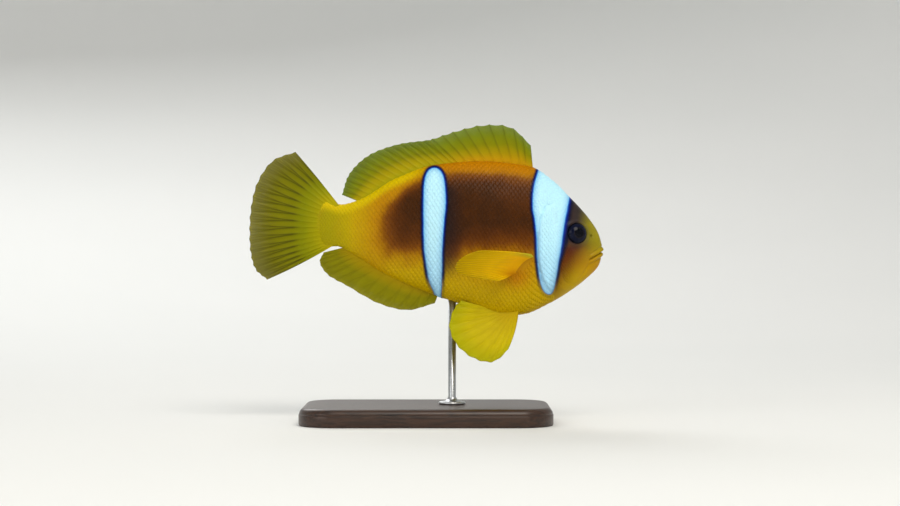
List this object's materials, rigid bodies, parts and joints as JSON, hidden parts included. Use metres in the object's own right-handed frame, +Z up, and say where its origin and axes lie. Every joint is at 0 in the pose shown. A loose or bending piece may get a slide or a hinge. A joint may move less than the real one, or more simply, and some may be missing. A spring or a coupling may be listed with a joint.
{
  "type": "clownfish model",
  "caption": "Life-size still model of a two-banded anemonefish, swimming level with its fins spread, held up by a slim rod on a flat display base.",
  "frame": {"origin": "middle of the bounding box at the underside of the display base", "axes": "+X towards the fish's snout, +Y to its left, +Z up"},
  "size_m": [0.1197, 0.052, 0.1],
  "materials": {
    "skin": "moist scaled skin: yellow-orange with a brown flank and two white bars edged in blue-black",
    "fin": "thin yellow membrane with darker rays",
    "eye": "clear wet eye, almost black",
    "base_wood": "dark stained hardwood, satin varnish",
    "rod_steel": "brushed stainless steel"
  },
  "bodies": {
    "root": {"head": "skin", "lower_jaw": "skin", "gill_cover_right": "skin", "gill_cover_left": "skin", "torso": "skin", "tail_stem": "skin", "eye_right": "eye", "eye_left": "eye", "dorsal_fin": "fin", "anal_fin": "fin", "caudal_fin": "fin", "pectoral_fin_right": "fin", "pectoral_fin_left": "fin", "pelvic_fin_right": "fin", "pelvic_fin_left": "fin", "stand_base": "base_wood", "stand_rod": "rod_steel"}
  },
  "joints": []
}
